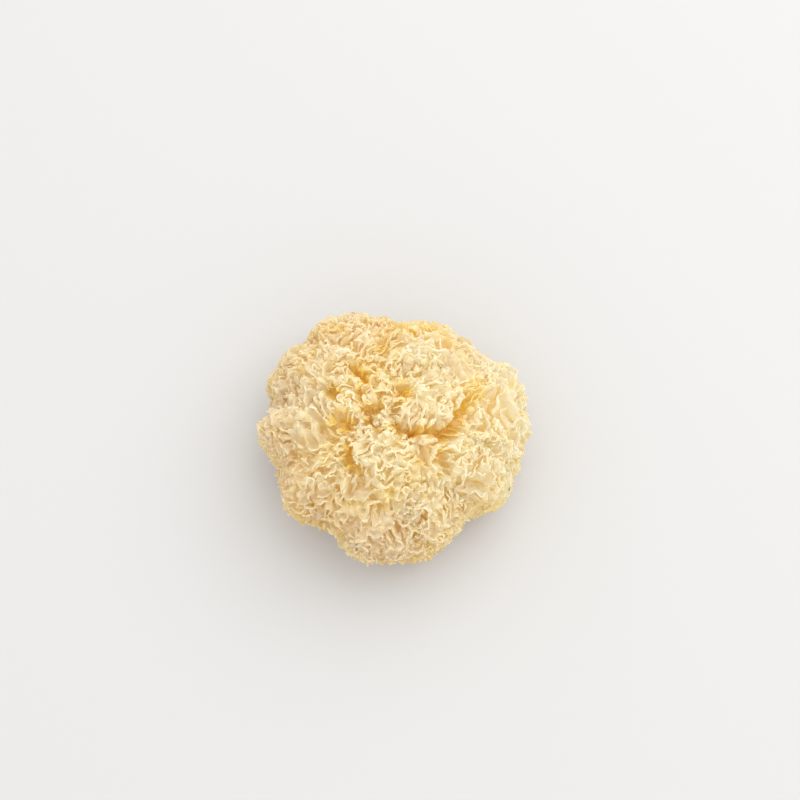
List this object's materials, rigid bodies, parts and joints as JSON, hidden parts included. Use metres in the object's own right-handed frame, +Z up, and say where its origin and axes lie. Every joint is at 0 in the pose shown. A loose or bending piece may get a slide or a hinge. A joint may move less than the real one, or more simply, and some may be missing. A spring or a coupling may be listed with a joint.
{
  "type": "dried snow fungus",
  "caption": "Rounded head of a dried snow fungus: tightly ruffled papery fronds spreading from a short foot that is cut flat.",
  "frame": {"origin": "centre of the flat cut under the foot, where the head rests", "axes": "+Z up out of the foot along the head's axis, +X along its widest direction, -Y towards the camera's side of the picture"},
  "size_m": [0.1045, 0.0974, 0.0604],
  "materials": {
    "dried_flesh": "matte"
  },
  "bodies": {
    "root": {"fruiting_body": "dried_flesh"}
  },
  "joints": []
}
